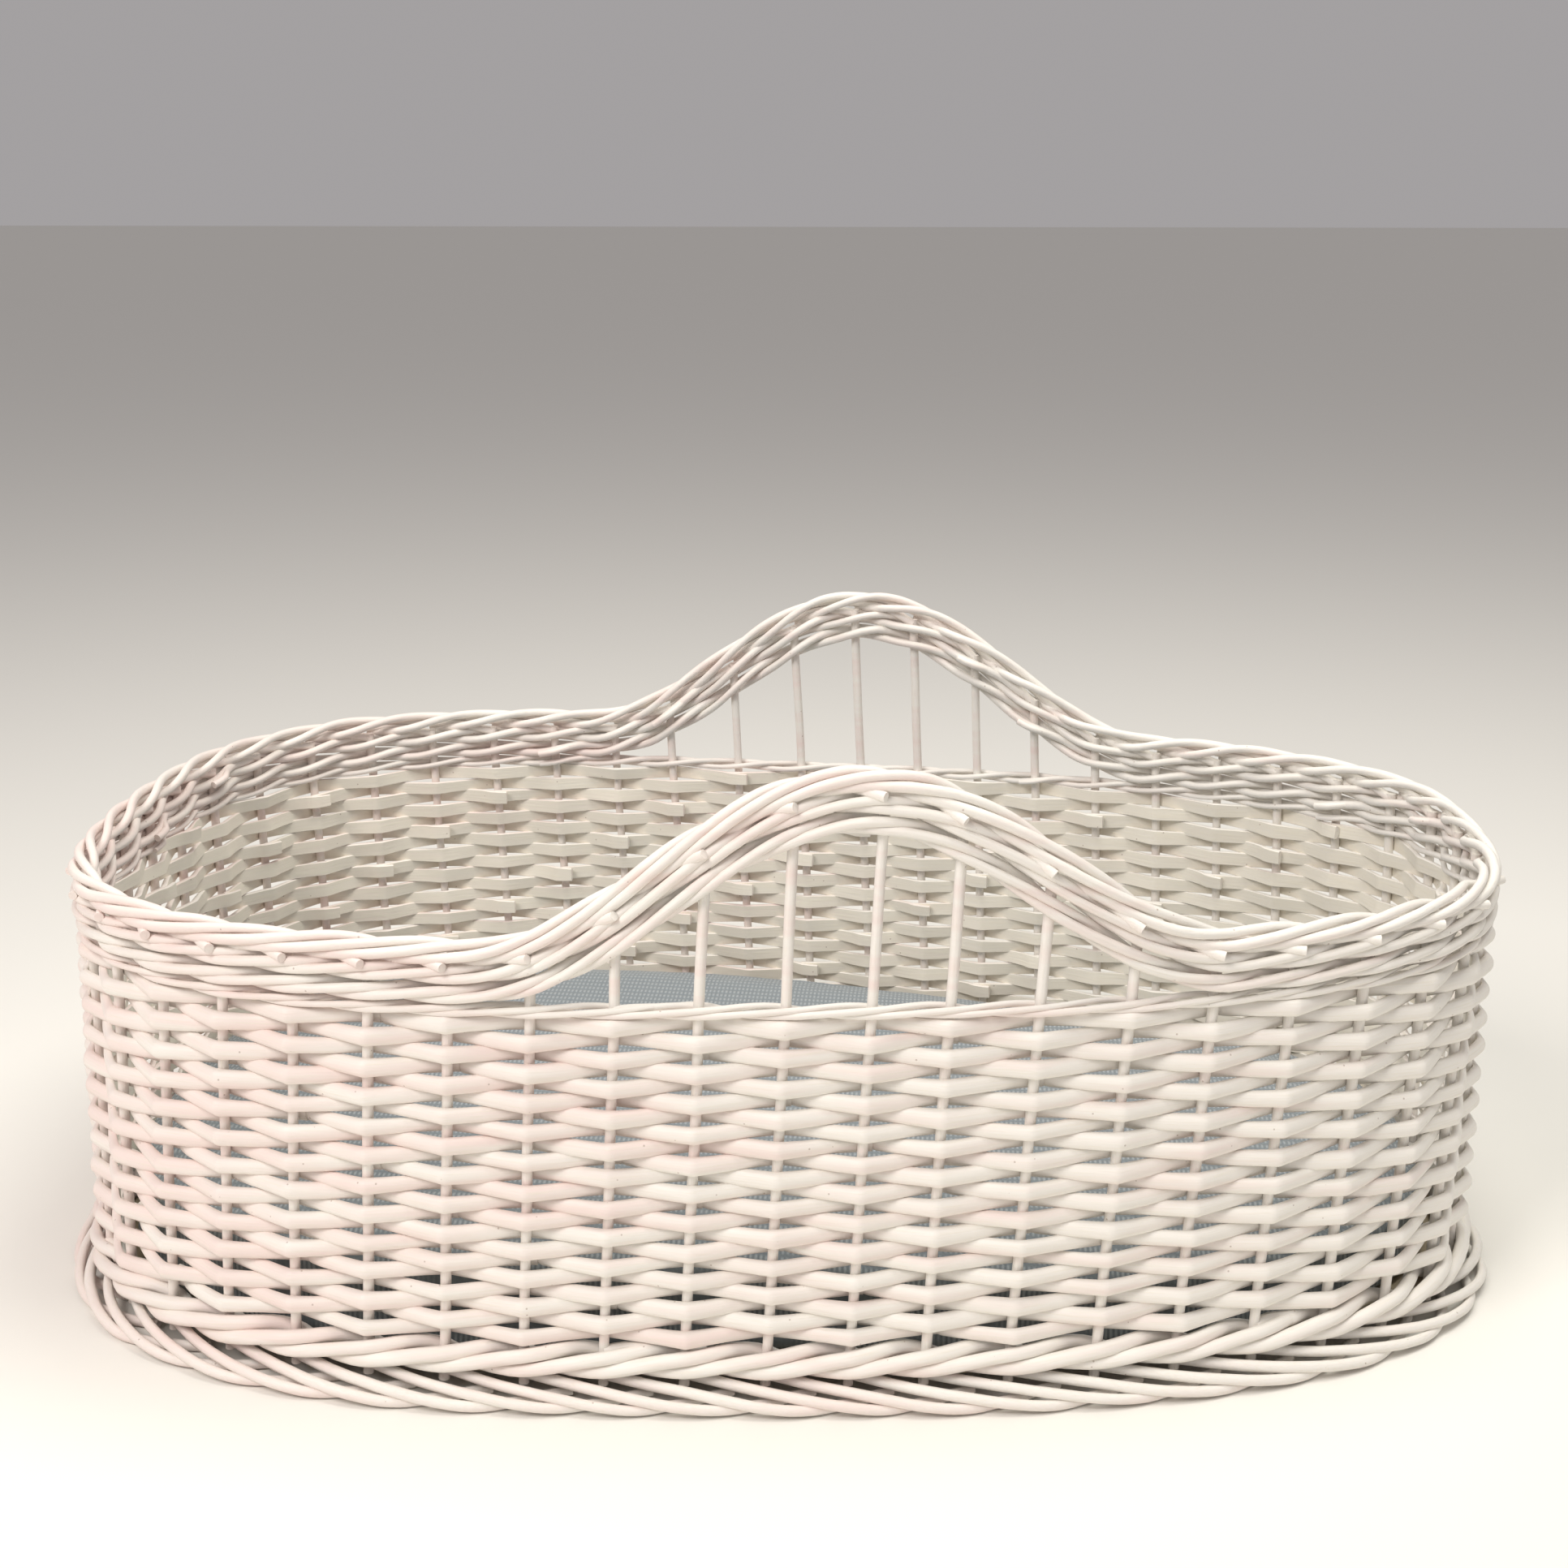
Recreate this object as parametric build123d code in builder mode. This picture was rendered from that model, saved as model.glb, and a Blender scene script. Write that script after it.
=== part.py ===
from build123d import *
import os
from bisect import bisect_right
from itertools import accumulate, pairwise
from math import cos, dist, hypot, pi, sin

# Moses basket: an oval cradle basket of painted willow with two arched
# handles that grow out of its long walls, and a loose mattress inside.
#
# Frame: millimetres, +Z up. The ground is Z = 0. X runs along the basket, with
# the narrower end at +X, and the front wall is at -Y.
#
# Everything woven is placed by its distance along the stake line, the oval on
# which the upright stakes stand, and by how far it lies outside that line.

# ---- driving dimensions (mm) ----------------------------------------------
HALF_LENGTH = 390.0        # stake line, centre to end
HALF_WIDTH = 221.0         # stake line, centre to wall
PLAN_POWER = 2.85          # 2 is an ellipse, more is squarer
PLAN_TAPER = 0.14          # share by which the +X end is narrower

STAKE_COUNT = 50
STAKE_DIAMETER = 5.4
FIRST_STAKE = 0.33         # place of stake 0, in stake spacings from the +X tip
STAKE_LEAN = 0.048         # sideways lean of the stakes per mm of height
STAKE_DRIFT = 9.0          # how far stakes halfway along a wall fall behind even spacing
CLEARANCE = 0.5            # air left between neighbouring solids

STRIP_COUNT = 5            # strips laid end to end in one course
STRIP_SHIFT = 3            # stakes from one course's joints to the next one's
ROW_COUNT = 22             # rows of plain weave in the wall
ROW_HEIGHT = 7.5
ROW_THICKNESS = 4.0        # split willow, flat side in

FOOT_ROD = 5.0             # foot border, under the base board
FOOT_FLARE = 12.0          # how far the outer foot course stands out
FOOT_UPPER_FLARE = 4.0     # and the upper one
FOOT_GAP = 0.6             # air between the outer and the inner foot course
BOARD_THICKNESS = 4.5      # plywood base
BOARD_GAP = 0.8            # board edge to the stakes round it
BOTTOM_WALE_ROD = 5.0
BOTTOM_WALE_COURSES = 3
FITCH_ROD = 2.9            # pair of thin rods under the handle openings
TOP_WALE_ROD = 4.7
TOP_WALE_COURSES = 4
BORDER_ROD = 5.3           # border rods, two courses
BORDER_COURSES = 2

ARCH_RISE = 87.0           # handle crown above the rim at the ends
ARCH_HALF_SPAN = 187.0     # crown to where the arch meets the level rim
ARCH_BEFORE_STAKE = 8.1    # crown lies this far before its middle stake
HANDLE_STAKES_BEFORE = 4   # stakes that show in a handle, before its middle one
HANDLE_STAKES_AFTER = 3    # and after it
FRONT_STAKE = 39           # stake nearest the crown of the front handle
BACK_STAKE = 11            # and of the back handle

MATTRESS_GAP = 3.0         # mattress edge to the innermost weaving
MATTRESS_THICKNESS = 54.0
MATTRESS_EDGE_RADIUS = 12.0
COVER_THICKNESS = 1.5
CORE_GAP = 0.3

# ---- derived sizes --------------------------------------------------------
STAKE_RADIUS = STAKE_DIAMETER / 2
STAKES_PER_STRIP = STAKE_COUNT // STRIP_COUNT


def stack(bottom, rod, count):
    """Underside of each course in a stack, and the underside of what follows."""
    return [bottom + i * (rod + CLEARANCE) for i in range(count + 1)]


FOOT_LOW, FOOT_HIGH, BOARD_BOTTOM = stack(0.0, FOOT_ROD, 2)
BOARD_TOP = BOARD_BOTTOM + BOARD_THICKNESS
*BOTTOM_WALE_Z, WEAVE_BOTTOM = stack(BOARD_TOP + CLEARANCE, BOTTOM_WALE_ROD, BOTTOM_WALE_COURSES)
*ROW_Z, WEAVE_TOP = stack(WEAVE_BOTTOM, ROW_HEIGHT, ROW_COUNT)
*FITCH_Z, FITCH_TOP = stack(WEAVE_TOP, FITCH_ROD, 2)
*TOP_WALE_Z, TOP_WALE_TOP = stack(FITCH_TOP, TOP_WALE_ROD, TOP_WALE_COURSES)
*BORDER_Z, RIM_TOP = stack(TOP_WALE_TOP, BORDER_ROD, BORDER_COURSES)
MATTRESS_BOTTOM = BOARD_TOP + CLEARANCE


def swing(thickness):
    """Distance from the stake line to the middle of a strip passing a stake."""
    return STAKE_RADIUS + CLEARANCE + thickness / 2


WALL_RODS = ROW_THICKNESS, BOTTOM_WALE_ROD, FITCH_ROD, TOP_WALE_ROD, BORDER_ROD
INNERMOST = max(swing(rod) + rod / 2 for rod in WALL_RODS)
FOOT_INNER_FLARE = FOOT_FLARE - 2 * swing(FOOT_ROD) - FOOT_ROD - FOOT_GAP

# ---- the stake line -------------------------------------------------------
PLAN_STEPS = 3600


def power(value, exponent):
    """Signed power, which makes the rounded corners of the oval."""
    return abs(value) ** exponent * (1 if value > 0 else -1)


def oval(angle):
    """Point of the stake line at an angle round the centre."""
    across = power(cos(angle), 2 / PLAN_POWER)
    along = power(sin(angle), 2 / PLAN_POWER)
    return HALF_LENGTH * across, HALF_WIDTH * along * (1 - PLAN_TAPER * across)


plan = [oval(2 * pi * i / PLAN_STEPS) for i in range(PLAN_STEPS + 1)]
plan_run = list(accumulate((dist(a, b) for a, b in pairwise(plan)), initial=0.0))
PERIMETER = plan_run[-1]
STAKE_SPACING = PERIMETER / STAKE_COUNT
NORMAL_STEP = STAKE_SPACING / 10


def on_line(distance):
    """Point at a distance along the stake line, counterclockwise from +X."""
    distance %= PERIMETER
    i = min(bisect_right(plan_run, distance), PLAN_STEPS) - 1
    share = (distance - plan_run[i]) / (plan_run[i + 1] - plan_run[i])
    (x0, y0), (x1, y1) = plan[i], plan[i + 1]
    return x0 + share * (x1 - x0), y0 + share * (y1 - y0)


def beside_line(distance, outward):
    """Point that lies outward of the stake line by a given amount."""
    x, y = on_line(distance)
    x0, y0 = on_line(distance - NORMAL_STEP)
    x1, y1 = on_line(distance + NORMAL_STEP)
    length = hypot(x1 - x0, y1 - y0)
    return x + outward * (y1 - y0) / length, y - outward * (x1 - x0) / length


def stake_distance(stake, height):
    """Where a stake crosses a height, which shifts because the stakes lean."""
    even = (stake + FIRST_STAKE) * STAKE_SPACING
    drift = STAKE_DRIFT * (1 - cos(4 * pi * even / PERIMETER)) / 2
    return even - drift + STAKE_LEAN * (height - WEAVE_BOTTOM)


def crown_x(stake):
    """X of a handle's crown, from the stake nearest to it."""
    x, y = on_line(stake_distance(stake, RIM_TOP))
    toward = 1 if y < 0 else -1
    return x - toward * ARCH_BEFORE_STAKE


FRONT_CROWN = crown_x(FRONT_STAKE)
BACK_CROWN = crown_x(BACK_STAKE)


def rise(x, crown):
    """Height of the arch over the level rim, at a place along the basket."""
    away = abs(x - crown) / ARCH_HALF_SPAN
    return ARCH_RISE * (1 + cos(pi * away)) / 2 if away < 1 else 0.0


def rise_at_stake(stake):
    """Rise of the arch where a stake stands."""
    x, y = on_line(stake_distance(stake, RIM_TOP))
    x, y = on_line(stake_distance(stake, RIM_TOP + rise(x, FRONT_CROWN if y < 0 else BACK_CROWN)))
    return rise(x, FRONT_CROWN if y < 0 else BACK_CROWN)


# ---- woven courses --------------------------------------------------------
def strip_side(start, low, thickness, pattern, side, flare, arched):
    """Points along one side of a strip that weaves past the stakes.

    The strip starts and ends inside a stake. A pattern of 2 goes outside every
    second stake, and a pattern of 3 goes outside two stakes and inside one.
    """
    points = []
    for i in range(STAKES_PER_STRIP + 1):
        inside = i % pattern == 0 or i == STAKES_PER_STRIP
        height = low + (rise_at_stake(start + i) if arched else 0.0)
        here = stake_distance(start + i, height)
        if i == 0:
            here += CLEARANCE / 2
        if i == STAKES_PER_STRIP:
            here -= CLEARANCE / 2
        outward = flare + side * thickness / 2 + (-1 if inside else 1) * swing(thickness)
        points.append((here, outward))
    middles = [((a + c) / 2, (b + d) / 2) for (a, b), (c, d) in pairwise(points)]
    ordered = [points[0]]
    for middle, point in zip(middles, points[1:]):
        ordered += [middle, point]
    return [beside_line(*place) for place in ordered]


def strips(first, low, thickness, pattern, flare=0.0, arched=False):
    """Plan of one course: its strips, laid end to end."""
    with BuildSketch() as drawing:
        for strip in range(STRIP_COUNT):
            start = first + strip * STAKES_PER_STRIP
            with BuildLine():
                outer = Spline(*strip_side(start, low, thickness, pattern, 1, flare, arched))
                inner = Spline(*strip_side(start, low, thickness, pattern, -1, flare, arched))
                Line(outer @ 0, inner @ 0)
                Line(outer @ 1, inner @ 1)
            make_face()
    return drawing.sketch


def level_course(name, first, low, height, thickness, pattern=2, flare=0.0):
    """A course of weaving that runs level all the way round."""
    drawing = strips(first, low, thickness, pattern, flare)
    with BuildPart() as course:
        with BuildSketch(Plane.XY.offset(low)):
            add(drawing)
        extrude(amount=height)
    save(course, name)


def arched_course(name, first, low, rod, pattern=2):
    """A course of weaving that climbs over both handles."""
    reach = HALF_WIDTH * (1 + PLAN_TAPER) + 2 * INNERMOST
    end = HALF_LENGTH + 2 * INNERMOST
    drawing = strips(first, low, rod, pattern, arched=True)
    with BuildPart() as course:
        for crown, depth in ((FRONT_CROWN, reach), (BACK_CROWN, -reach)):
            with BuildSketch(Plane.XZ):
                with BuildLine():
                    under = arch_line(crown, low, end)
                    over = arch_line(crown, low + rod, end)
                    Line(under[0] @ 0, over[0] @ 0)
                    Line(under[-1] @ 1, over[-1] @ 1)
                make_face()
            extrude(amount=depth)
        with BuildSketch(Plane.XY.offset(low - CLEARANCE)):
            add(drawing)
        extrude(amount=ARCH_RISE + rod + 2 * CLEARANCE, mode=Mode.INTERSECT)
    save(course, name)


def arch_line(crown, height, end):
    """Side view of a rod over a handle: level, up over the arch, and level."""
    steps = 12
    xs = [crown + ARCH_HALF_SPAN * (2 * i / steps - 1) for i in range(steps + 1)]
    foot = Line((-end, height), (xs[0], height))
    arch = Spline(*[(x, height + rise(x, crown)) for x in xs])
    far = Line((xs[-1], height), (end, height))
    return foot, arch, far


# ---- the other pieces -----------------------------------------------------
def stakes(name, numbers):
    """Upright stakes from the foot border up into the top border."""
    with BuildPart() as group:
        for stake in numbers:
            top = BORDER_Z[-1] + rise_at_stake(stake)
            foot = on_line(stake_distance(stake, BOARD_BOTTOM))
            head = on_line(stake_distance(stake, top))
            low = Vector(*foot, BOARD_BOTTOM)
            axis = Vector(*head, top) - low
            with BuildSketch(Plane(origin=low, z_dir=axis)):
                Circle(STAKE_RADIUS)
            extrude(amount=axis.length)
    save(group, name)


def outline(outward):
    """Plan of a piece whose edge runs beside the stake line all the way round."""
    stations = 2 * STAKE_COUNT
    edge = [beside_line(PERIMETER * i / stations, outward) for i in range(stations)]
    with BuildSketch() as drawing:
        with BuildLine():
            Spline(*edge, periodic=True)
        make_face()
    return drawing.sketch


def base_board():
    """Plywood base, which lies inside the stakes on the foot border."""
    drawing = outline(-STAKE_RADIUS - BOARD_GAP)
    with BuildPart() as board:
        with BuildSketch(Plane.XY.offset(BOARD_BOTTOM)):
            add(drawing)
        extrude(amount=BOARD_THICKNESS)
    save(board, "base_board")


def pad(skin):
    """The mattress's shape, a given skin inside its outer face."""
    drawing = outline(-INNERMOST - MATTRESS_GAP - skin)
    with BuildPart() as body:
        with BuildSketch(Plane.XY.offset(MATTRESS_BOTTOM + skin)):
            add(drawing)
        extrude(amount=MATTRESS_THICKNESS - 2 * skin)
        rims = body.edges().filter_by(GeomType.BSPLINE)
        fillet(rims, MATTRESS_EDGE_RADIUS - skin)
    return body


def mattress():
    """Foam core in its fabric cover."""
    lining = pad(COVER_THICKNESS)
    cover = pad(0.0)
    with cover:
        add(lining.part, mode=Mode.SUBTRACT)
    save(cover, "mattress_cover")
    save(pad(COVER_THICKNESS + CORE_GAP), "mattress_core")


def save(piece, name):
    """Label a finished piece and write it to its own file."""
    piece.part.label = name
    export_step(piece.part, f"parts/{name}.step")


# ---- build ----------------------------------------------------------------
os.makedirs("parts", exist_ok=True)

foot_courses = (
    ("outer", FOOT_LOW, FOOT_FLARE),
    ("inner", FOOT_LOW, FOOT_INNER_FLARE),
    ("upper", FOOT_HIGH, FOOT_UPPER_FLARE),
)
for i, (place, z, flare) in enumerate(foot_courses):
    level_course(f"foot_border_{place}", STRIP_SHIFT * i, z, FOOT_ROD, FOOT_ROD, flare=flare)
base_board()
for i, z in enumerate(BOTTOM_WALE_Z):
    level_course(f"bottom_wale_{i + 1}", i, z, BOTTOM_WALE_ROD, BOTTOM_WALE_ROD, pattern=3)
for i, z in enumerate(ROW_Z):
    level_course(f"weave_row_{i + 1:02}", STRIP_SHIFT * i, z, ROW_HEIGHT, ROW_THICKNESS)
for i, z in enumerate(FITCH_Z):
    level_course(f"fitch_{i + 1}", STRIP_SHIFT * i, z, FITCH_ROD, FITCH_ROD)
for i, z in enumerate(TOP_WALE_Z):
    arched_course(f"top_wale_{i + 1}", i, z, TOP_WALE_ROD, pattern=3)
for i, z in enumerate(BORDER_Z):
    arched_course(f"top_border_{i + 1}", STRIP_SHIFT * i, z, BORDER_ROD)

back = range(BACK_STAKE - HANDLE_STAKES_AFTER, BACK_STAKE + HANDLE_STAKES_BEFORE + 1)
front = range(FRONT_STAKE - HANDLE_STAKES_BEFORE, FRONT_STAKE + HANDLE_STAKES_AFTER + 1)
stakes("handle_stakes_back", back)
stakes("handle_stakes_front", front)
stakes("end_stakes_left", range(back.stop, front.start))
stakes("end_stakes_right", range(front.stop, STAKE_COUNT + back.start))
mattress()
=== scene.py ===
"""Moses basket of painted willow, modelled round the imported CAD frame.

Every strand of the basket is laid by its place along the stake line, the oval
on which the upright stakes stand, by how far it lies outside that line, and by
its height. Lengths in the classes are millimetres; Blender objects are metres.
"""

import logging
import math
from bisect import bisect_right
from collections.abc import Sequence
from dataclasses import dataclass
from enum import Enum
from functools import cached_property
from itertools import accumulate, pairwise

import bpy
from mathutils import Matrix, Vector, noise


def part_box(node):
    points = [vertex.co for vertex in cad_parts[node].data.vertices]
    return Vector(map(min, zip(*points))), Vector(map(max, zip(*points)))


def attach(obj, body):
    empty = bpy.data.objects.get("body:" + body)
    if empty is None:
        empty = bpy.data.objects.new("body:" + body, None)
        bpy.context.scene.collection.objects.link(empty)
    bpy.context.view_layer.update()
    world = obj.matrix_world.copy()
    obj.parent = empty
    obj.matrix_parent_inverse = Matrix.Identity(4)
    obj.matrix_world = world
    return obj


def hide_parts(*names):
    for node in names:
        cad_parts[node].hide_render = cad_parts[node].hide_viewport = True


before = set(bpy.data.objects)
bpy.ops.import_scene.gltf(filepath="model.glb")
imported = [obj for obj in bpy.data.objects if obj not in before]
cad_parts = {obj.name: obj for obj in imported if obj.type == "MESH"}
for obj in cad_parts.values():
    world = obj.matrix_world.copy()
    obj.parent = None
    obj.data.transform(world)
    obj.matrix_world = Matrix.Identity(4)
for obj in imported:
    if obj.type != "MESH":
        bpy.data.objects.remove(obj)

MM = 0.001
LOG = logging.getLogger("moses_basket")


# ---------------------------------------------------------------------------
# small helpers
# ---------------------------------------------------------------------------
def linear(hex_code: str) -> tuple[float, float, float, float]:
    """Turn an sRGB hex colour into a linear one.

    Args:
        hex_code: six hex digits with a leading hash sign.

    Returns:
        Red, green, blue and an alpha of 1.
    """
    parts = [int(hex_code[i : i + 2], 16) / 255 for i in (1, 3, 5)]
    red, green, blue = [c / 12.92 if c <= 0.04045 else ((c + 0.055) / 1.055) ** 2.4 for c in parts]
    return red, green, blue, 1.0


def uneven(key: float, along: float) -> float:
    """Smooth hand-made unevenness, the same on every run.

    Args:
        key: which strand and which of its properties.
        along: place along the strand.

    Returns:
        A number between about -1 and 1.
    """
    return 1.6 * noise.noise(Vector((key * 7.31, along, key * 1.7 + 0.5)))


def add_node(
    material: bpy.types.Material,
    kind: str,
    settings: dict[str, object] | None = None,
    links: dict[str | int, bpy.types.NodeSocket] | None = None,
) -> bpy.types.Node:
    """Add a shader node with its settings and its incoming links.

    Args:
        material: the material that gets the node.
        kind: the node's type name.
        settings: node properties, or input values by socket name or number.
        links: input sockets by name or number, and what feeds them.

    Returns:
        The new node.
    """
    node = material.node_tree.nodes.new(kind)
    for key, value in (settings or {}).items():
        if isinstance(key, str) and hasattr(node, key):
            setattr(node, key, value)
        else:
            node.inputs[key].default_value = value
    for key, source in (links or {}).items():
        material.node_tree.links.new(source, node.inputs[key])
    return node


def new_material(name: str) -> tuple[bpy.types.Material, bpy.types.Node]:
    """Make an empty node material with its shader.

    Args:
        name: the finish's name.

    Returns:
        The material and its Principled shader.
    """
    material = bpy.data.materials.new(name)
    material.use_nodes = True
    return material, material.node_tree.nodes["Principled BSDF"]


def select_only(obj: bpy.types.Object) -> None:
    """Make one object the only selected and the active one.

    Args:
        obj: the object.
    """
    bpy.ops.object.select_all(action="DESELECT")
    obj.select_set(True)
    bpy.context.view_layer.objects.active = obj


def box_mm(node: str) -> tuple[Vector, Vector]:
    """Lowest and highest corner of a CAD node, in millimetres."""
    low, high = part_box(node)
    return Vector(low) / MM, Vector(high) / MM


# ---------------------------------------------------------------------------
# finishes
# ---------------------------------------------------------------------------
@dataclass(frozen=True)
class PaintedWillow:
    """Willow rods brushed with chalky off-white paint.

    The brush leaves fine lines along each rod and lets a little of the wood
    through on the split inner face, whose yellower tint is partly painted warm
    shade of the basket's inside. Chalk paint dries dull, a little smoother
    on the crests of its brush lines than between them.
    """

    name: str
    paint: str = "#F3EFE8"
    blush: str = "#F0DCD6"
    cream: str = "#EAE3D3"
    # wood through thin paint on the split face, its tint partly painted warm shade of the inside
    bare_wood_and_warm_shade: str = "#F2ECDC"
    grit: str = "#A58E80"
    strand_length: float = 415.0
    girth: float = 22.0
    split_face: bool = False
    roughness: float = 0.5

    def material(self) -> bpy.types.Material:
        """Build the node material.

        Returns:
            The finished material.
        """
        material, shader = new_material(self.name)
        place = add_node(material, "ShaderNodeTexCoord")
        spot = place.outputs["Object"]
        strand = place.outputs["UV"]
        # a slow drift of the third coordinate keeps one strand from repeating another
        drift = add_node(
            material, "ShaderNodeVectorMath",
            {"operation": "DOT_PRODUCT", 1: (9.0, 7.0, 31.0)}, {0: spot},
        )
        split = add_node(material, "ShaderNodeSeparateXYZ", {}, {0: strand})
        around = add_node(
            material, "ShaderNodeMath",
            {"operation": "MULTIPLY", 1: self.girth}, {0: split.outputs["Y"]},
        )
        along = add_node(
            material, "ShaderNodeMath",
            {"operation": "MULTIPLY", 1: self.strand_length}, {0: split.outputs["X"]},
        )
        joined = add_node(
            material, "ShaderNodeCombineXYZ", {},
            {0: around.outputs[0], 1: along.outputs[0], 2: drift.outputs["Value"]},
        )
        # brush and grain lines: about 0.9 mm apart and 20 mm long
        lines = add_node(material, "ShaderNodeMapping", {"Scale": (1.1, 0.05, 1.0)}, {0: joined.outputs[0]})
        grain = add_node(
            material, "ShaderNodeTexNoise", {"Scale": 1.0, "Detail": 4.0, "Roughness": 0.62},
            {"Vector": lines.outputs[0]},
        )
        # tint that differs from strand to strand: 9 mm high and 90 mm long
        patches = add_node(material, "ShaderNodeMapping", {"Scale": (11.0, 11.0, 110.0)}, {0: spot})
        tint = add_node(
            material, "ShaderNodeTexNoise", {"Scale": 1.0, "Detail": 2.0}, {"Vector": patches.outputs[0]}
        )
        # painted pink cast of light bounced onto the head end, at -X, added to the strand-to-strand tint
        ends = add_node(material, "ShaderNodeSeparateXYZ", {}, {0: spot})
        tint_and_painted_cast = add_node(
            material, "ShaderNodeMath", {"operation": "MULTIPLY_ADD", 1: -0.4},
            {0: ends.outputs["X"], 2: tint.outputs["Fac"]},
        )
        blushed = add_node(
            material, "ShaderNodeMapRange",
            {"From Min": 0.4, "From Max": 0.75, "To Max": 0.8}, {"Value": tint_and_painted_cast.outputs[0]},
        )
        base = add_node(
            material, "ShaderNodeMix",
            {"data_type": "RGBA", 6: linear(self.paint), 7: linear(self.blush)},
            {0: blushed.outputs[0]},
        )
        aged = add_node(
            material, "ShaderNodeMapRange",
            {"From Min": 0.5, "From Max": 0.78, "To Max": 0.6}, {"Value": grain.outputs["Fac"]},
        )
        worn = add_node(
            material, "ShaderNodeMix", {"data_type": "RGBA", 7: linear(self.cream)},
            {0: aged.outputs[0], 6: base.outputs[2]},
        )
        colour = worn.outputs[2]
        # the split inner face turns yellower: wood through thin paint, and partly painted warm shade
        if self.split_face:
            colour = self.thin_paint_and_warm_shade(material, split.outputs["Y"], grain.outputs["Fac"], colour)
        # pin-head specks where grit sat in the paint
        specks = add_node(
            material, "ShaderNodeTexVoronoi", {"Scale": 95.0, "Randomness": 1.0}, {"Vector": spot}
        )
        spot_size = add_node(
            material, "ShaderNodeMapRange",
            {"From Min": 0.035, "From Max": 0.06, "To Min": 0.55, "To Max": 0.0},
            {"Value": specks.outputs["Distance"]},
        )
        speckled = add_node(
            material, "ShaderNodeMix", {"data_type": "RGBA", 7: linear(self.grit)},
            {0: spot_size.outputs[0], 6: colour},
        )
        sheen = add_node(
            material, "ShaderNodeMapRange",
            {"To Min": self.roughness - 0.1, "To Max": self.roughness + 0.16},
            {"Value": grain.outputs["Fac"]},
        )
        ridges = add_node(
            material, "ShaderNodeBump", {"Strength": 0.55, "Distance": 0.0004},
            {"Height": grain.outputs["Fac"]},
        )
        links = material.node_tree.links
        links.new(speckled.outputs[2], shader.inputs["Base Color"])
        links.new(sheen.outputs[0], shader.inputs["Roughness"])
        links.new(ridges.outputs[0], shader.inputs["Normal"])
        shader.inputs["IOR"].default_value = 1.46
        return material

    def thin_paint_and_warm_shade(
        self,
        material: bpy.types.Material,
        around: bpy.types.NodeSocket,
        grain: bpy.types.NodeSocket,
        colour: bpy.types.NodeSocket,
    ) -> bpy.types.NodeSocket:
        """Let the wood show through on the split inner face.

        Args:
            material: the material being built.
            around: place round the strand's section, 0 to 1.
            grain: the grain pattern.
            colour: the paint's colour.

        Returns:
            The colour with the thin paint, and its partly painted warm shade, mixed in.
        """
        off = add_node(material, "ShaderNodeMath", {"operation": "SUBTRACT", 1: 0.5}, {0: around})
        away = add_node(material, "ShaderNodeMath", {"operation": "ABSOLUTE"}, {0: off.outputs[0]})
        inner = add_node(
            material, "ShaderNodeMapRange",
            {"From Min": 0.135, "From Max": 0.115}, {"Value": away.outputs[0]},
        )
        patchy = add_node(
            material, "ShaderNodeMath", {"operation": "MULTIPLY_ADD", 1: 0.9, 2: 0.35}, {0: grain}
        )
        amount = add_node(
            material, "ShaderNodeMath", {"operation": "MULTIPLY", "use_clamp": True},
            {0: inner.outputs[0], 1: patchy.outputs[0]},
        )
        mixed = add_node(
            material, "ShaderNodeMix", {"data_type": "RGBA", 7: linear(self.bare_wood_and_warm_shade)},
            {0: amount.outputs[0], 6: colour},
        )
        return mixed.outputs[2]


@dataclass(frozen=True)
class CutWillowAndTipShade:
    """Sawn end of a willow rod, with a thin smear of paint over the wood; its dark brown also stands as
    painted shade at the rod tips.
    """

    name: str
    # dark sawn wood, partly painted shade at the rod tips
    wood: str = "#A8835C"
    smear: str = "#DCC9AE"

    def material(self) -> bpy.types.Material:
        """Build the node material.

        Returns:
            The finished material.
        """
        material, shader = new_material(self.name)
        spot = add_node(material, "ShaderNodeTexCoord").outputs["Object"]
        patches = add_node(material, "ShaderNodeTexNoise", {"Scale": 400.0, "Detail": 3.0}, {"Vector": spot})
        colour = add_node(
            material, "ShaderNodeMix", {"data_type": "RGBA", 6: linear(self.wood), 7: linear(self.smear)},
            {0: patches.outputs["Fac"]},
        )
        material.node_tree.links.new(colour.outputs[2], shader.inputs["Base Color"])
        shader.inputs["Roughness"].default_value = 0.8
        return material


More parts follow.
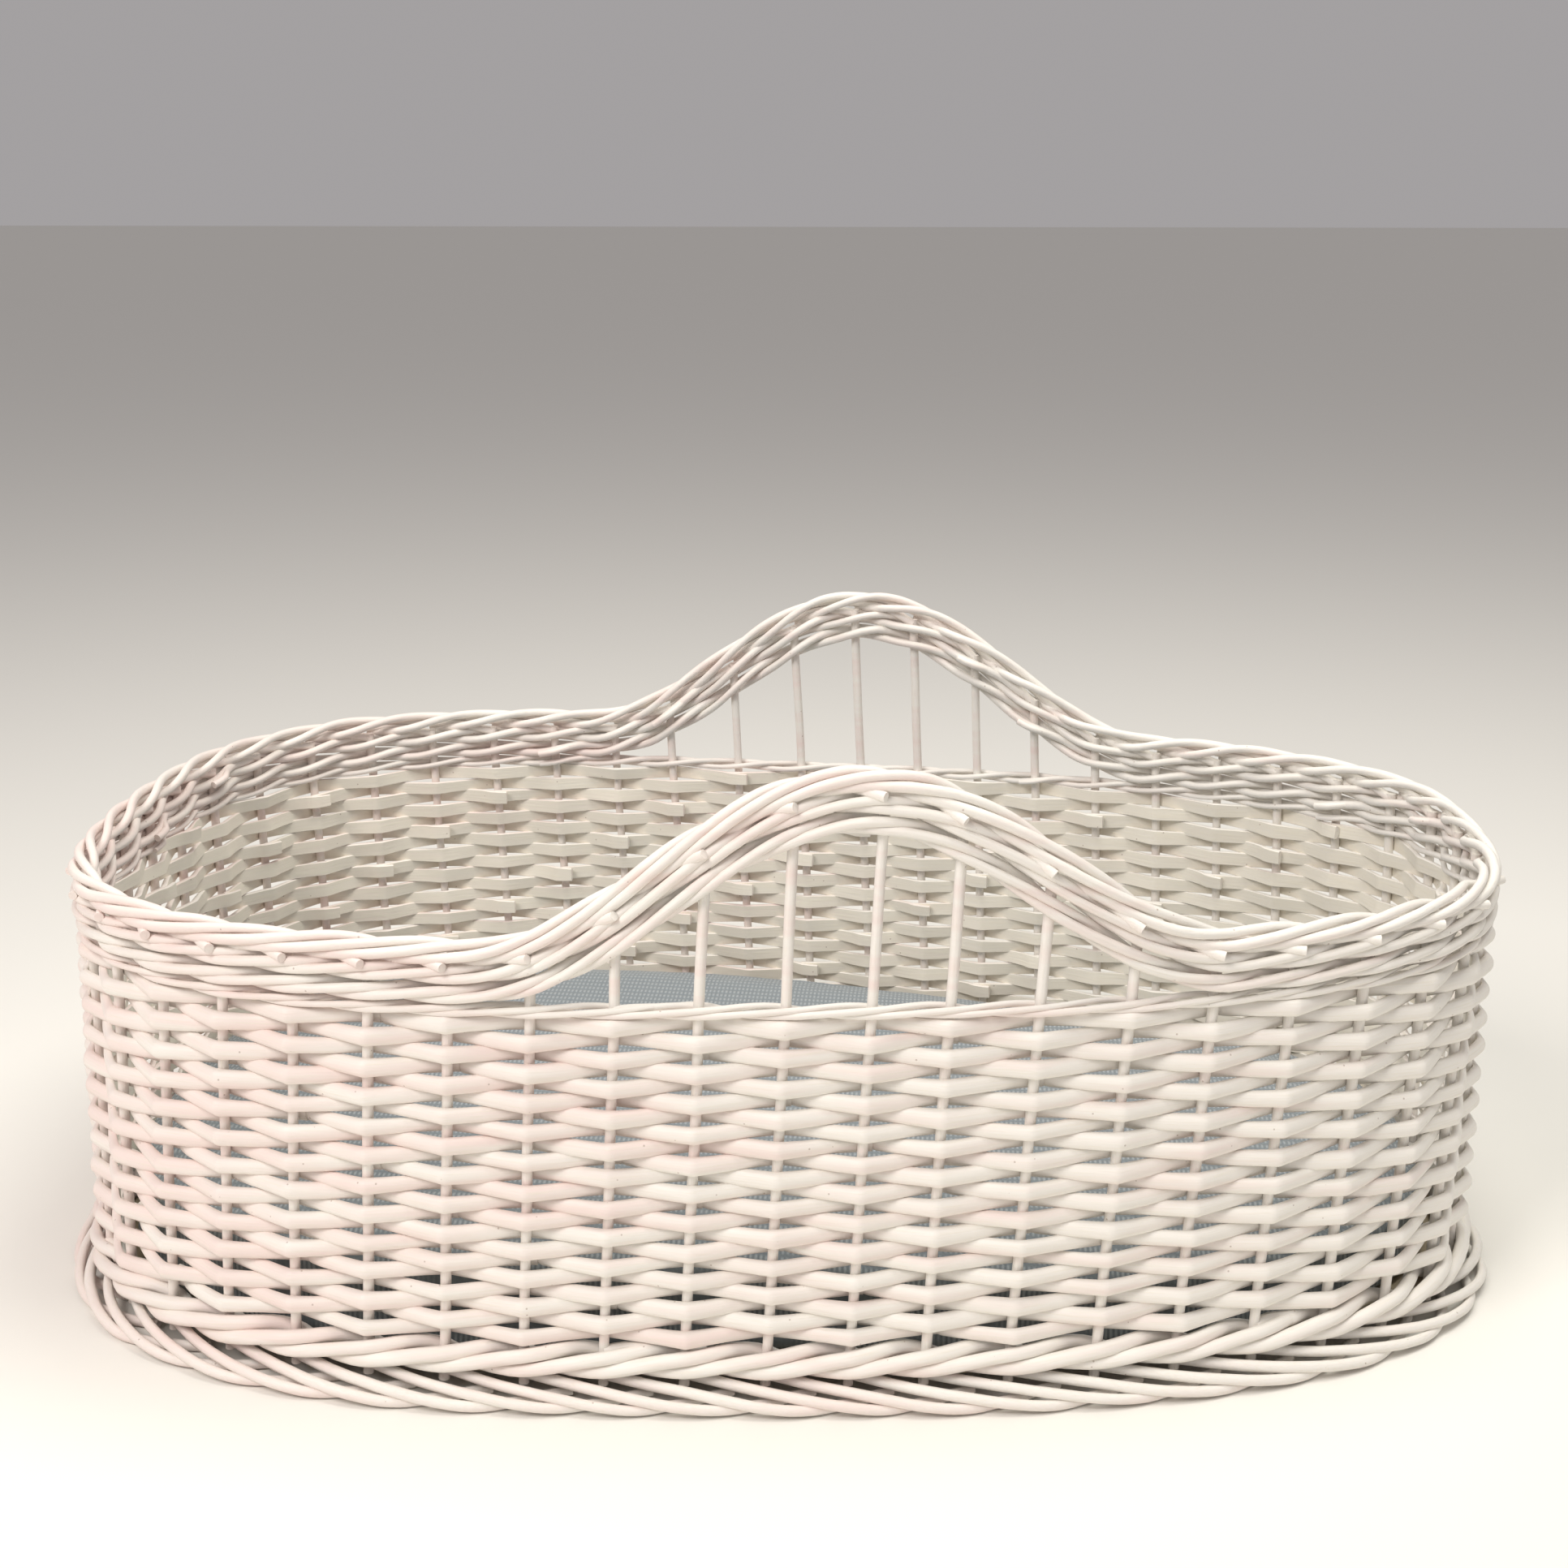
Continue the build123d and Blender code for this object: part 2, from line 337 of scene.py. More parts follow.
@dataclass(frozen=True)
class WaffleCotton:
    """Grey-blue cotton knitted in small raised ribs and cells, with painted shade darkening the hollows
    between them.
    """

    name: str
    thread: str = "#A3ABB0"
    # painted shade in the knit's hollows
    hollow_shade: str = "#717A80"
    rib: float = 2.7
    cell: float = 6.4

    def material(self) -> bpy.types.Material:
        """Build the node material.

        Returns:
            The finished material.
        """
        material, shader = new_material(self.name)
        spot = add_node(material, "ShaderNodeTexCoord").outputs["Object"]
        heights = []
        for axis, pitch in (("X", self.rib), ("Y", self.cell)):
            # a wave repeats every pi / 10 of its input times its scale
            waves = add_node(
                material, "ShaderNodeTexWave",
                {"bands_direction": axis, "Scale": math.pi / 10 / (pitch * MM), "Distortion": 0.3},
                {"Vector": spot},
            )
            heights.append(waves.outputs["Fac"])
        raised = add_node(
            material, "ShaderNodeMath", {"operation": "MULTIPLY"}, {0: heights[0], 1: heights[1]}
        )
        fuzz = add_node(material, "ShaderNodeTexNoise", {"Scale": 900.0, "Detail": 3.0}, {"Vector": spot})
        surface = add_node(
            material, "ShaderNodeMath", {"operation": "MULTIPLY_ADD", 1: 0.35},
            {0: fuzz.outputs["Fac"], 2: raised.outputs[0]},
        )
        # painted shade: the hollows between the raised threads take the darker colour
        colour = add_node(
            material, "ShaderNodeMix",
            {"data_type": "RGBA", 6: linear(self.hollow_shade), 7: linear(self.thread)},
            {0: surface.outputs[0]},
        )
        relief = add_node(
            material, "ShaderNodeBump", {"Strength": 0.8, "Distance": 0.0008},
            {"Height": surface.outputs[0]},
        )
        links = material.node_tree.links
        links.new(colour.outputs[2], shader.inputs["Base Color"])
        links.new(relief.outputs[0], shader.inputs["Normal"])
        shader.inputs["Roughness"].default_value = 0.9
        shader.inputs["Sheen Weight"].default_value = 0.25
        shader.inputs["Sheen Roughness"].default_value = 0.5
        return material


@dataclass(frozen=True)
class BirchPlywood:
    """Bare sanded birch plywood, with its grain along the board."""

    name: str
    pale: str = "#CDC0A8"
    dark: str = "#AA9B80"

    def material(self) -> bpy.types.Material:
        """Build the node material.

        Returns:
            The finished material.
        """
        material, shader = new_material(self.name)
        spot = add_node(material, "ShaderNodeTexCoord").outputs["Object"]
        stretched = add_node(material, "ShaderNodeMapping", {"Scale": (12.0, 220.0, 700.0)}, {0: spot})
        grain = add_node(
            material, "ShaderNodeTexNoise", {"Scale": 1.0, "Detail": 5.0}, {"Vector": stretched.outputs[0]}
        )
        colour = add_node(
            material, "ShaderNodeMix", {"data_type": "RGBA", 6: linear(self.pale), 7: linear(self.dark)},
            {0: grain.outputs["Fac"]},
        )
        ridges = add_node(
            material, "ShaderNodeBump", {"Strength": 0.3, "Distance": 0.0003},
            {"Height": grain.outputs["Fac"]},
        )
        links = material.node_tree.links
        links.new(colour.outputs[2], shader.inputs["Base Color"])
        links.new(ridges.outputs[0], shader.inputs["Normal"])
        shader.inputs["Roughness"].default_value = 0.6
        return material


@dataclass(frozen=True)
class OpenCellFoam:
    """Cream mattress foam with fine open cells, with painted shade darkening their pits."""

    name: str
    pale: str = "#EFE9D2"
    dark: str = "#D9CFB0"

    def material(self) -> bpy.types.Material:
        """Build the node material.

        Returns:
            The finished material.
        """
        material, shader = new_material(self.name)
        spot = add_node(material, "ShaderNodeTexCoord").outputs["Object"]
        cells = add_node(material, "ShaderNodeTexVoronoi", {"Scale": 900.0}, {"Vector": spot})
        # painted shade: the cells' pits take the darker colour
        colour = add_node(
            material, "ShaderNodeMix", {"data_type": "RGBA", 6: linear(self.dark), 7: linear(self.pale)},
            {0: cells.outputs["Distance"]},
        )
        pits = add_node(
            material, "ShaderNodeBump", {"Strength": 0.5, "Distance": 0.0005},
            {"Height": cells.outputs["Distance"]},
        )
        links = material.node_tree.links
        links.new(colour.outputs[2], shader.inputs["Base Color"])
        links.new(pits.outputs[0], shader.inputs["Normal"])
        shader.inputs["Roughness"].default_value = 0.95
        return material


# ---------------------------------------------------------------------------
# the stake line and the arches
# ---------------------------------------------------------------------------
# stakes that the maker set off their even places, in millimetres along the line
STAKE_NUDGES = {9: -1.5, 10: -2.0, 11: -4.0, 12: -4.0, 13: -2.0, 14: 2.0, 40: -4.0, 41: -2.5}


@dataclass(frozen=True)
class StakeLine:
    """The egg-shaped oval on which the upright stakes stand.

    The stakes lean along the line by `lean` for each millimetre of height, fall
    up to `drift` behind even spacing halfway along each wall, and `tuck` in
    toward the middle at the head end, which is at -X.
    """

    half_length: float = 390.0
    half_width: float = 221.0
    power: float = 2.85
    taper: float = 0.14
    stakes: int = 50
    first: float = 0.33
    lean: float = 0.048
    drift: float = 9.0
    tuck: float = 0.03
    steps: int = 3600

    @cached_property
    def base(self) -> float:
        """Height at which the stakes are counted, the foot of the weave."""
        return box_mm("weave_row_01")[0].z

    def oval(self, angle: float) -> Vector:
        """Point of the line at an angle round the centre.

        Args:
            angle: the angle, in radians.

        Returns:
            The point, in millimetres.
        """
        across, along = [
            math.copysign(abs(v) ** (2 / self.power), v) for v in (math.cos(angle), math.sin(angle))
        ]
        return Vector((self.half_length * across, self.half_width * along * (1 - self.taper * across)))

    @cached_property
    def points(self) -> list[Vector]:
        """Points all the way round the line."""
        return [self.oval(math.tau * i / self.steps) for i in range(self.steps + 1)]

    @cached_property
    def run(self) -> list[float]:
        """Distance along the line to each of its points."""
        return list(accumulate(((b - a).length for a, b in pairwise(self.points)), initial=0.0))

    @cached_property
    def spacing(self) -> float:
        """Distance from one stake to the next."""
        return self.run[-1] / self.stakes

    def on_line(self, distance: float) -> Vector:
        """Point at a distance along the line.

        Args:
            distance: how far along, from the tip at +X.

        Returns:
            The point, in millimetres.
        """
        distance %= self.run[-1]
        i = min(bisect_right(self.run, distance), self.steps) - 1
        share = (distance - self.run[i]) / (self.run[i + 1] - self.run[i])
        return self.points[i].lerp(self.points[i + 1], share)

    def distance(self, stake: float, height: float) -> float:
        """Where a stake crosses a height.

        Args:
            stake: place round the basket, in stakes.
            height: height above the ground.

        Returns:
            The distance along the line.
        """
        even = (stake + self.first) * self.spacing
        behind = self.drift * (1 - math.cos(2 * math.tau * even / self.run[-1])) / 2
        return even - behind + self.lean * (height - self.base)

    def nudge(self, stake: float) -> float:
        """How far the maker set the stakes off there.

        Args:
            stake: place round the basket, in stakes.

        Returns:
            Millimetres along the line.
        """
        low = math.floor(stake)
        here, after = [STAKE_NUDGES.get(k % self.stakes, 0.0) for k in (low, low + 1)]
        return here + (stake - low) * (after - here)

    def spot(self, stake: float, out: float, height: float) -> Vector:
        """Where a strand passes.

        Args:
            stake: place round the basket, in stakes; halves lie between two.
            out: how far outside the stake line.
            height: height above the ground.

        Returns:
            The point, in metres.
        """
        distance = self.distance(stake, height) + self.nudge(stake)
        middle = self.on_line(distance)
        step = self.spacing / 10
        way = (self.on_line(distance + step) - self.on_line(distance - step)).normalized()
        tuck = self.tuck * (height - self.base) * max(-middle.x / self.half_length, 0.0) ** 2
        return Vector((middle.x + out * way.y + tuck, middle.y - out * way.x, height)) * MM


@dataclass(frozen=True)
class Arches:
    """How the rim rises over the two handles.

    Each crown lies `before` its middle stake, `front` or `back`.
    """

    line: StakeLine
    rise: float = 87.0
    half_span: float = 187.0
    before: float = 8.1
    front: int = 39
    back: int = 11

    def crown(self, stake: int) -> float:
        """Where a handle is highest.

        Args:
            stake: the handle's middle stake.

        Returns:
            X of the crown, in millimetres.
        """
        rim = box_mm("top_border_2")[1].z - self.rise
        spot = self.line.on_line(self.line.distance(stake, rim))
        return spot.x - math.copysign(self.before, -spot.y)

    @cached_property
    def crowns(self) -> tuple[float, float]:
        """X of the front and of the back crown."""
        return self.crown(self.front), self.crown(self.back)

    def lift(self, stake: float, height: float) -> tuple[float, float]:
        """Rise of the rim at a place round the basket.

        Args:
            stake: place round the basket, in stakes.
            height: height of the level rim there.

        Returns:
            The rise, and how much a slanting band is taller than a level one.
        """
        rise, stretch = 0.0, 1.0
        for _ in range(2):
            spot = self.line.spot(stake, 0.0, height + rise) / MM
            away = (spot.x - self.crowns[0 if spot.y < 0 else 1]) / self.half_span
            if abs(away) < 1:
                rise = self.rise * (1 + math.cos(math.pi * away)) / 2
                slope = self.rise * math.pi * math.sin(math.pi * away) / (2 * self.half_span)
                stretch = math.hypot(1.0, slope)
        return rise, stretch


# ---------------------------------------------------------------------------
# rods and strands
# ---------------------------------------------------------------------------
@dataclass
class Knot:
    """A point that a strand passes through."""

    place: Vector
    size: float = 1.0
    tilt: float = 0.0


class Section(Enum):
    """The shapes of strand that the basket is made of."""

    ROUND = "round"
    SPLIT = "split"

    def outline(self, thickness: float, height: float, sides: int) -> list[tuple[float, float]]:
        """Outline of the section, clockwise, with +X outward.

        Args:
            thickness: size across the wall.
            height: size up the wall.
            sides: how many faces go round a round strand.

        Returns:
            The corners, in millimetres.
        """
        if self is Section.SPLIT:
            return [(x * thickness / 2, y * height / 2) for x, y in SPLIT_OUTLINE]
        angles = [math.tau * i / sides for i in range(sides)]
        return [(math.cos(a) * thickness / 2, -math.sin(a) * height / 2) for a in angles]


# a split rod, clockwise from the middle of its round back; its flat face is at -X
SPLIT_OUTLINE = (
    (1.0, 0.0), (0.9, -0.38), (0.6, -0.72), (0.1, -0.95), (-0.75, -1.0), (-1.0, -0.9), (-1.0, -0.3),
    (-1.0, 0.3), (-1.0, 0.9), (-0.75, 1.0), (0.1, 0.95), (0.6, 0.72), (0.9, 0.38),
)


@dataclass
class Bench:
    """Where strands are laid, joined into one piece and dressed."""

    cut_end_and_tip_shade: bpy.types.Material
    smooth_angle: float = math.radians(50)

    def section(
        self, shape: Section, thickness: float, height: float, sides: int = 10
    ) -> bpy.types.Object:
        """Make a strand's section as a flat closed curve.

        Args:
            shape: round or split.
            thickness: size across the wall.
            height: size up the wall.
            sides: how many faces go round a round strand.

        Returns:
            The curve object.
        """
        bpy.ops.object.select_all(action="DESELECT")
        bpy.ops.curve.primitive_bezier_circle_add(radius=thickness * MM)
        section = bpy.context.object
        section.data.splines.clear()
        corners = shape.outline(thickness, height, sides)
        loop = section.data.splines.new("POLY")
        loop.points.add(len(corners) - 1)
        for point, (x, y) in zip(loop.points, corners):
            point.co = (x * MM, y * MM, 0.0, 1.0)
        loop.use_cyclic_u = True
        return section

    def lay(
        self,
        name: str,
        strands: Sequence[Sequence[Knot]],
        section: bpy.types.Object,
        steps: int = 3,
        upright: bool = False,
    ) -> bpy.types.Object:
        """Lay strands as curves and turn them into one mesh.

        Args:
            name: the piece's name.
            strands: the knots of each strand.
            section: the strands' section, removed afterwards.
            steps: faces from one knot to the next.
            upright: True for strands that stand on end.

        Returns:
            The finished mesh object, at the origin.
        """
        bpy.ops.object.select_all(action="DESELECT")
        bpy.ops.curve.primitive_bezier_curve_add(location=(0, 0, 0))
        piece = bpy.context.object
        piece.name = name
        shape = piece.data
        shape.splines.clear()
        shape.dimensions = "3D"
        for strand in strands:
            spline = shape.splines.new("BEZIER")
            spline.bezier_points.add(len(strand) - 1)
            for point, knot in zip(spline.bezier_points, strand):
                point.co = knot.place
                point.radius = knot.size
                point.tilt = knot.tilt
                point.handle_left_type = point.handle_right_type = "AUTO"
        shape.resolution_u = steps
        shape.twist_mode = "MINIMUM" if upright else "Z_UP"
        shape.bevel_mode = "OBJECT"
        shape.bevel_object = section
        shape.use_fill_caps = True
        bpy.ops.object.convert(target="MESH")
        bpy.ops.object.mode_set(mode="EDIT")
        bpy.ops.mesh.select_all(action="SELECT")
        bpy.ops.mesh.remove_doubles(threshold=0.01 * MM)
        bpy.ops.object.mode_set(mode="OBJECT")
        bpy.ops.object.shade_smooth_by_angle(angle=self.smooth_angle)
        bpy.data.objects.remove(section)
        return piece

    def finish(
        self,
        piece: bpy.types.Object,
        material: bpy.types.Material,
        slot: str,
        body: str,
        nodes: Sequence[str],
        raw_ends_and_tip_shade: bool = False,
    ) -> None:
        """Dress a piece, put it on its body and let it stand for CAD nodes.

        Args:
            piece: the finished mesh object.
            material: its finish.
            slot: the name of a material slot; not used.
            body: the body it rides on.
            nodes: the CAD nodes that it stands for.
            raw_ends_and_tip_shade: True where rods were cut after painting, so that their ends show the wood,
                darkened also as painted shade at the rod tips.
        """
        piece.data.materials.clear()
        piece.data.materials.append(material)
        cut = 0
        # the rods' ends get the dark sawn-wood colour, partly painted shade at the rod tips
        if raw_ends_and_tip_shade:
            piece.data.materials.append(self.cut_end_and_tip_shade)
            # a rod's ends are its only faces with more than four corners
            for face in piece.data.polygons:
                if len(face.vertices) > 4:
                    face.material_index = 1
                    cut += 1
        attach(piece, body)
        if nodes:
            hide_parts(*nodes)
        LOG.info("%s: %d faces, %d of them cut ends", piece.name, len(piece.data.polygons), cut)


# ---------------------------------------------------------------------------
# the basket's sub-assemblies
# ---------------------------------------------------------------------------
@dataclass
class Stakes:
    """Upright round rods that everything else is woven on."""

    bench: Bench
    line: StakeLine
    arches: Arches
    diameter: float = 5.5
    step: float = 26.0
    below_board: float = 3.0
    girth_spread: float = 0.05
    lumps: float = 0.03
    sway: float = 0.012
    bow: float = 0.35

    def knots(self, stake: int, low: float, high: float) -> list[Knot]:
        """Path of one stake, a little crooked as real rods are.

        Args:
            stake: which stake.
            low: height of its lower end.
            high: height of its upper end.

        Returns:
            Its knots from the bottom up.
        """
        count = max(4, round((high - low) / self.step))
        girth = 1 + self.girth_spread * uneven(stake + 0.3, 3.0)
        knots = []
        for i in range(count + 1):
            height = low + (high - low) * i / count
            sway = self.sway * uneven(stake + 0.1, height / 70)
            out = self.bow * uneven(stake + 0.7, height / 60)
            size = girth * (1 + self.lumps * uneven(stake + 0.9, height / 25))
            knots.append(Knot(self.line.spot(stake + sway, out, height), size))
        return knots

    def build(self, material: bpy.types.Material) -> None:
        """Lay the four groups of stakes.

        Args:
            material: the stakes' finish.
        """
        low = box_mm("base_board")[0].z - self.below_board
        rim = box_mm("top_border_1")[0].z
        front = range(self.arches.front - 4, self.arches.front + 4)
        back = range(self.arches.back - 3, self.arches.back + 5)
        groups = {
            "handle_stakes_front": front,
            "handle_stakes_back": back,
            "end_stakes_left": range(back.stop, front.start),
            "end_stakes_right": range(front.stop, self.line.stakes + back.start),
        }
        for name, stakes in groups.items():
            strands = [self.knots(k, low, rim + self.arches.lift(k, rim)[0]) for k in stakes]
            section = self.bench.section(Section.ROUND, self.diameter, self.diameter)
            piece = self.bench.lay(f"willow_{name}", strands, section, upright=True)
            self.bench.finish(piece, material, "painted_willow", "basket", [name])


@dataclass
class Weave:
    """Rows of split willow, over one stake and under the next.

    A row is `strips` strips laid end to end, and each row's joints lie three
    stakes (`joint_shift`) on from those of the row below.
    """

    bench: Bench
    line: StakeLine
    rows: int = 22
    strips: int = 5
    stakes_per_strip: int = 10
    joint_shift: int = 3
    thickness: float = 4.7
    height: float = 9.1
    swing_out: float = 5.7
    swing_in: float = 5.3
    row_drift: float = 0.8
    wander: float = 0.7
    girth_spread: float = 0.07
    lumps: float = 0.08
    twist: float = 0.16

    def strip(self, row: int, start: int, height: float) -> list[Knot]:
        """Path of one strip of split willow.

        Args:
            row: which row, which sets its unevenness.
            start: the stake that it starts behind.
            height: middle height of the row.

        Returns:
            Its knots.
        """
        key = row * 13.7 + start * 0.61
        girth = 1 + self.girth_spread * uneven(key, 0.5)
        knots = []

        def knot(place: float, out: float, size: float) -> None:
            """Add a knot to the strip.

            Args:
                place: how many stakes on from the strip's start.
                out: how far outside the stake line.
                size: share of the full section.
            """
            drift = self.row_drift * uneven(row + 0.2, (start + place) * 0.55)
            out += self.wander * uneven(key + 5.1, place * 0.9)
            size *= girth * (1 + self.lumps * uneven(key + 9.3, place * 1.1))
            spot = self.line.spot(start + place, out, height + drift)
            knots.append(Knot(spot, size, self.twist * uneven(key + 2.2, place * 0.8)))

        # its end lies behind a stake, on the inner side of the strip before it
        knot(-0.16, -self.swing_in - 0.75 * self.thickness, 0.92)
        for i in range(self.stakes_per_strip + 1):
            outside = i % 2 == 1
            swing = self.swing_out if outside else -self.swing_in
            if i > 0:
                knot(i - 0.5, 0.0, 0.93)
                knot(i - 0.28, 0.44 * swing, 0.95)
                knot(i - 0.07, 0.88 * swing, 1.0)
            if i == 0:
                knot(0.08, -self.swing_in - 0.5 * self.thickness, 1.0)
                knot(0.2, 0.8 * swing, 1.0)
                continue
            knot(i, swing, 1.04 if outside else 1.0)
            if i < self.stakes_per_strip:
                knot(i + 0.07, 0.88 * swing, 1.0)
                knot(i + 0.28, 0.44 * swing, 0.95)
        knot(self.stakes_per_strip + 0.13, -self.swing_in, 0.95)
        return knots

    def build(self, material: bpy.types.Material) -> None:
        """Lay the rows.

        Args:
            material: the split willow's finish.
        """
        for row in range(self.rows):
            node = f"weave_row_{row + 1:02}"
            low, high = box_mm(node)
            starts = [self.joint_shift * row + i * self.stakes_per_strip for i in range(self.strips)]
            strands = [self.strip(row, start, (low.z + high.z) / 2) for start in starts]
            section = self.bench.section(Section.SPLIT, self.thickness, self.height)
            piece = self.bench.lay(f"willow_{node}", strands, section, steps=2)
            self.bench.finish(piece, material, "painted_willow", "basket", [node])


@dataclass
class Wale:
    """Rounds of three-rod wale: over two stakes, behind one, always climbing.

    `climb` and `pitch` are in rod diameters: how far a rod climbs in three
    stakes, and how far one round lies above the round below it. So are `wander`
    and `sag`, a rod's unevenness across the wall and up it.
    """

    bench: Bench
    line: StakeLine
    name: str
    nodes: Sequence[str]
    diameter: float
    rounds: int = 1
    climb: float = 1.1
    pitch: float = 2.05
    rod_stakes: int = 21
    clearance: float = 0.3
    stake_radius: float = 2.7
    sink: float = 0.0
    arches: Arches | None = None
    sides: int = 9
    wander: float = 0.07
    sag: float = 0.06
    lumps: float = 0.04

    # place of a rod through three stakes, in quarters of a stake
    ACROSS = (0.0, 0.55, 0.95, 1.02, 1.05, 1.02, 0.95, 0.55, 0.0, -0.62, -0.95, -0.62)
    UP = (0.0, 0.04, 0.12, 0.28, 0.5, 0.72, 0.88, 0.96, 1.0, 0.85, 0.5, 0.12)
    BEAT = len(ACROSS)

    def level(self, stake: float, height: float, middle: float) -> float:
        """Height of a rod, carried up over the handles where they are.

        Args:
            stake: place round the basket, in stakes.
            height: its height where the rim is level.
            middle: middle height of the band where it is level.

        Returns:
            The height there.
        """
        if self.arches is None:
            return height
        rise, stretch = self.arches.lift(stake, middle)
        return middle + rise + (height - middle) * stretch

    def rod(self, course: int, first: int, last: int, base: float, middle: float) -> list[Knot]:
        """Path of one rod.

        Args:
            course: which round it belongs to.
            first: quarter-stakes at which it starts.
            last: quarter-stakes at which it ends.
            base: height of the band's underside.
            middle: middle height of the band.

        Returns:
            Its knots.
        """
        key = 31.7 * course + first * 0.013 + self.diameter
        swing = self.stake_radius + self.clearance + self.diameter / 2
        knots = []
        for quarter in range(first, last + 1):
            stake = quarter / 4
            phase = (quarter - 2) % self.BEAT
            out = swing * self.ACROSS[phase] + self.wander * self.diameter * uneven(key, stake * 0.8)
            up = 0.5 + self.climb * self.UP[phase] + course * self.pitch
            height = base + self.diameter * (up + self.sag * uneven(key + 4.4, stake * 0.7))
            share = (quarter - first) / (last - first)
            # a rod tapers from its butt to its tip, and both are tucked in behind a stake
            size = (1.08 - 0.16 * share) * (1 + self.lumps * uneven(key + 8.2, stake * 0.9))
            if quarter <= first + 1:
                out -= 0.7 * self.diameter
            if quarter >= last - 1:
                out -= 0.9 * self.diameter
            knots.append(Knot(self.line.spot(stake, out, self.level(stake, height, middle)), size))
        return knots

    def build(self, material: bpy.types.Material) -> None:
        """Lay the rods.

        Args:
            material: the rods' finish.
        """
        base = min(box_mm(node)[0].z for node in self.nodes) - self.sink
        top = max(box_mm(node)[0].z + self.diameter for node in self.nodes)
        if self.arches is not None:
            top = base + 2 * self.rounds * self.diameter
        middle = (base + top) / 2
        strands = []
        round_trip = 3 * self.line.stakes * 4
        for course in range(self.rounds):
            # rods join behind a stake, which comes every third one
            start = 8 + self.BEAT * 2 * course
            step = self.BEAT * (self.rod_stakes // 3)
            joints = list(range(start, start + round_trip, step))
            joints = joints[:-1] if start + round_trip - joints[-1] < step // 2 else joints
            ends = [*joints[1:], start + round_trip]
            for a, b in zip(joints, ends):
                strands.append(self.rod(course, a, b + 5, base, middle))
        section = self.bench.section(Section.ROUND, self.diameter, self.diameter, self.sides)
        piece = self.bench.lay(self.name, strands, section, steps=2)
        self.bench.finish(piece, material, "painted_willow", "basket", self.nodes, True)


@dataclass
class TopBorder:
    """Rolled border: each stake's end goes over two, behind one, and is cut off outside."""

    bench: Bench
    line: StakeLine
    arches: Arches
    diameter: float = 5.5
    girth_spread: float = 0.06
    taper: float = 0.03
    wander: float = 0.7
    sag: float = 0.5

    # stakes along, across the wall and up, in millimetres from the border's underside
    PATH = (
        (0.00, 0.0, -3.0), (0.28, 1.0, 0.2), (0.55, 3.4, 1.9), (1.00, 5.4, 3.6), (1.50, 5.4, 6.2),
        (2.00, 3.4, 8.6), (2.40, 0.8, 9.6), (2.70, -1.8, 9.0), (3.00, -4.2, 6.8),
        (3.30, -3.8, 3.6), (3.58, -0.4, 1.1), (3.80, 4.2, 0.0), (3.93, 7.4, -0.4), (3.99, 9.0, -0.5),
    )

    def rod(self, stake: int, base: float, middle: float) -> list[Knot]:
        """Path of one stake's end through the border.

        Args:
            stake: which stake.
            base: height of the border's underside where the rim is level.
            middle: middle height of the band there.

        Returns:
            Its knots.
        """
        girth = 1 + self.girth_spread * uneven(stake + 0.45, 1.5)
        knots = []
        for along, out, up in self.PATH:
            out += self.wander * uneven(stake + 20.3, along)
            up += self.sag * uneven(stake + 40.3, along)
            rise, stretch = self.arches.lift(stake + along, middle)
            height = middle + rise + (base + up - middle) * stretch
            size = girth * (1.02 - self.taper * along)
            knots.append(Knot(self.line.spot(stake + along, out, height), size))
        return knots

    def build(self, material: bpy.types.Material) -> None:
        """Lay the rods of the border.

        Args:
            material: the rods' finish.
        """
        base = box_mm("top_border_1")[0].z
        middle = (box_mm("top_wale_1")[0].z + base + 2 * self.diameter) / 2
        strands = [self.rod(k, base, middle) for k in range(self.line.stakes)]
        section = self.bench.section(Section.ROUND, self.diameter, self.diameter)
        piece = self.bench.lay("willow_top_border", strands, section, steps=4)
        self.bench.finish(piece, material, "painted_willow", "basket", ["top_border_1", "top_border_2"], True)


@dataclass
class FootBorder:
    """The stakes' lower ends, turned out and down and rolled into a foot."""

    bench: Bench
    line: StakeLine
    diameter: float = 5.9
    sides: int = 9
    girth_spread: float = 0.06
    taper: float = 0.02
    wander: float = 0.6
    sag: float = 0.4

    # stakes along, across the wall and height above the ground
    PATH = (
        (0.00, 0.0, 14.0), (0.25, 3.0, 13.0), (0.60, 7.6, 11.8), (1.05, 12.2, 10.2), (1.50, 15.8, 8.2),
        (2.00, 18.2, 5.6), (2.45, 17.2, 3.5), (2.85, 12.0, 3.0), (3.25, 5.0, 3.0), (3.60, -2.0, 3.1),
    )

    def rod(self, stake: int) -> list[Knot]:
        """Path of one stake's end through the foot.

        Args:
            stake: which stake.

        Returns:
            Its knots.
        """
        girth = 1 + self.girth_spread * uneven(stake + 60.4, 1.5)
        knots = []
        for along, out, up in self.PATH:
            out += self.wander * uneven(stake + 61.7, along)
            # neither its start in the wall nor its end on the ground sags
            if 0.5 < along < 2.5:
                up += self.sag * uneven(stake + 64.7, along)
            size = girth * (1.0 - self.taper * along)
            knots.append(Knot(self.line.spot(stake + along, out, up), size))
        return knots

    def build(self, material: bpy.types.Material) -> None:
        """Lay the rods of the foot.

        Args:
            material: the rods' finish.
        """
        strands = [self.rod(k) for k in range(self.line.stakes)]
        section = self.bench.section(Section.ROUND, self.diameter, self.diameter, self.sides)
        piece = self.bench.lay("willow_foot_border", strands, section, steps=4)
        nodes = ["foot_border_outer", "foot_border_inner", "foot_border_upper"]
        self.bench.finish(piece, material, "painted_willow", "basket", nodes, True)


